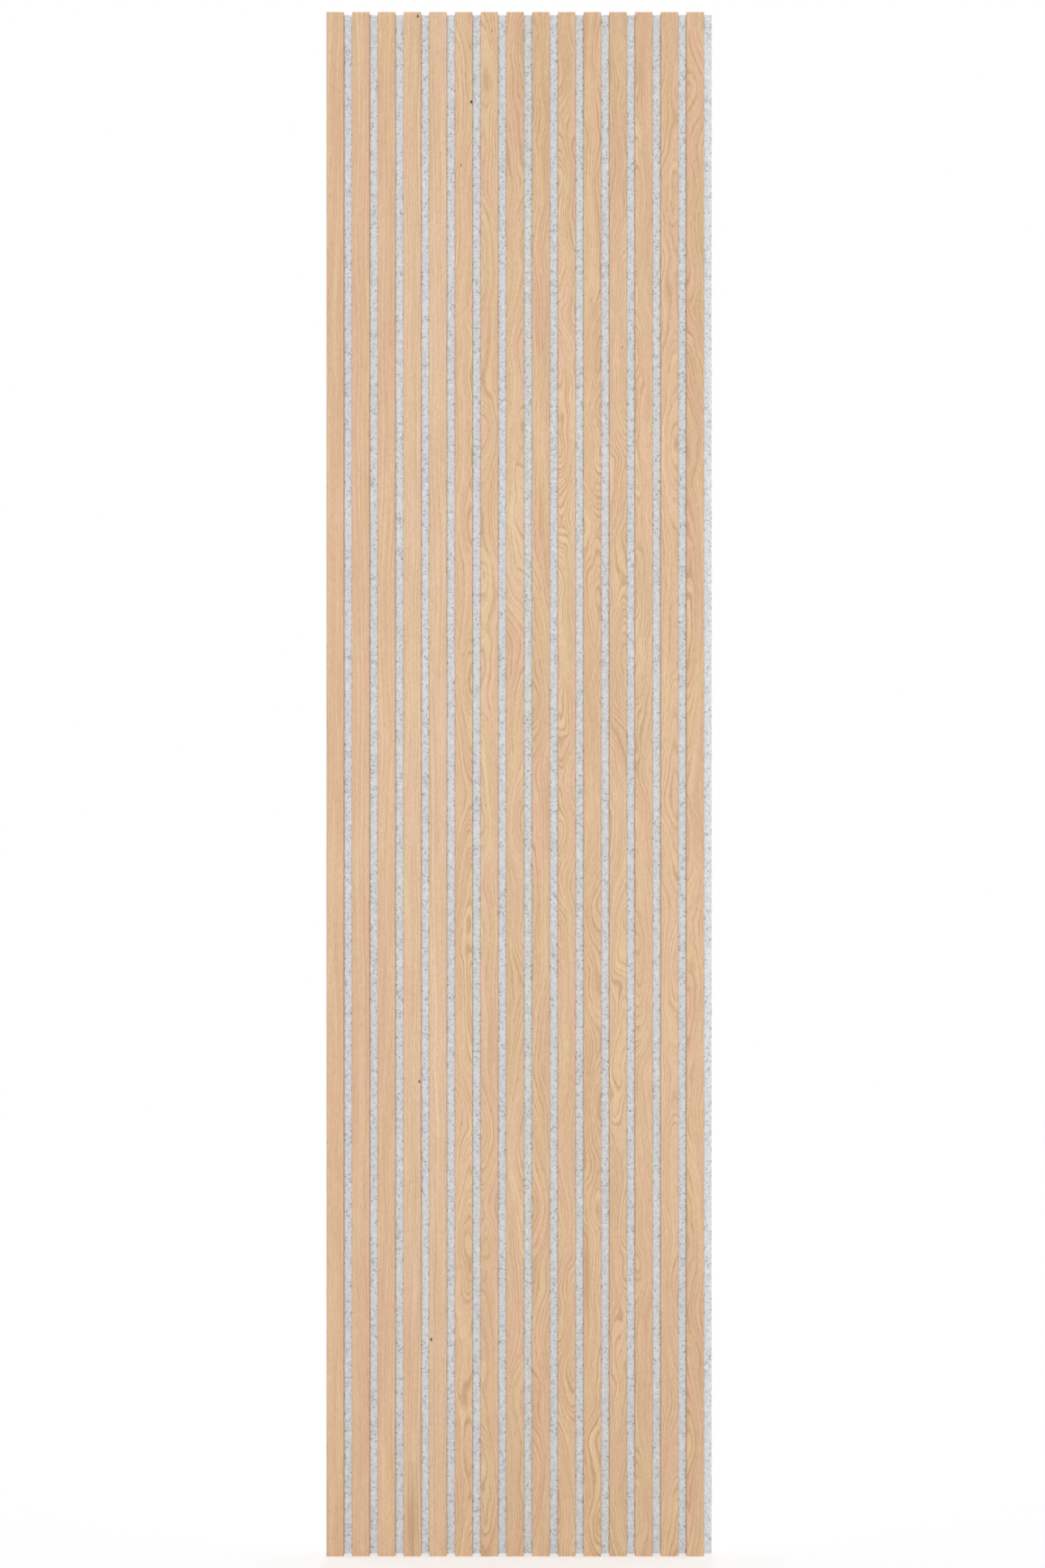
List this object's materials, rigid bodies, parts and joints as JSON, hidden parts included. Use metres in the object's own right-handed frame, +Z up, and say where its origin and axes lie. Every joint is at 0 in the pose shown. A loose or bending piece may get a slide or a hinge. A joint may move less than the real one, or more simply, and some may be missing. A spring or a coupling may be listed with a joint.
{
  "type": "acoustic slat wall panel",
  "caption": "Tall wall panel of parallel oak slats, evenly spaced on a grey felt board that damps sound; the felt reaches one gap past the last slat so panels butt together.",
  "frame": {"origin": "middle of the felt's back face, which lies against the wall", "axes": "+X to the right as seen from the room, +Y into the wall, +Z up along the slats"},
  "size_m": [0.6, 0.021, 2.4],
  "materials": {
    "felt": "pressed mottled grey felt",
    "oak": "matt clear-sealed pale oak",
    "staple_wire": "zinc-coated wire"
  },
  "bodies": {
    "root": {"felt_backing": "felt", "slat_01": "oak", "slat_02": "oak", "slat_03": "oak", "slat_04": "oak", "slat_05": "oak", "slat_06": "oak", "slat_07": "oak", "slat_08": "oak", "slat_09": "oak", "slat_10": "oak", "slat_11": "oak", "slat_12": "oak", "slat_13": "oak", "slat_14": "oak", "slat_15": "oak", "staples": "staple_wire"}
  },
  "joints": []
}
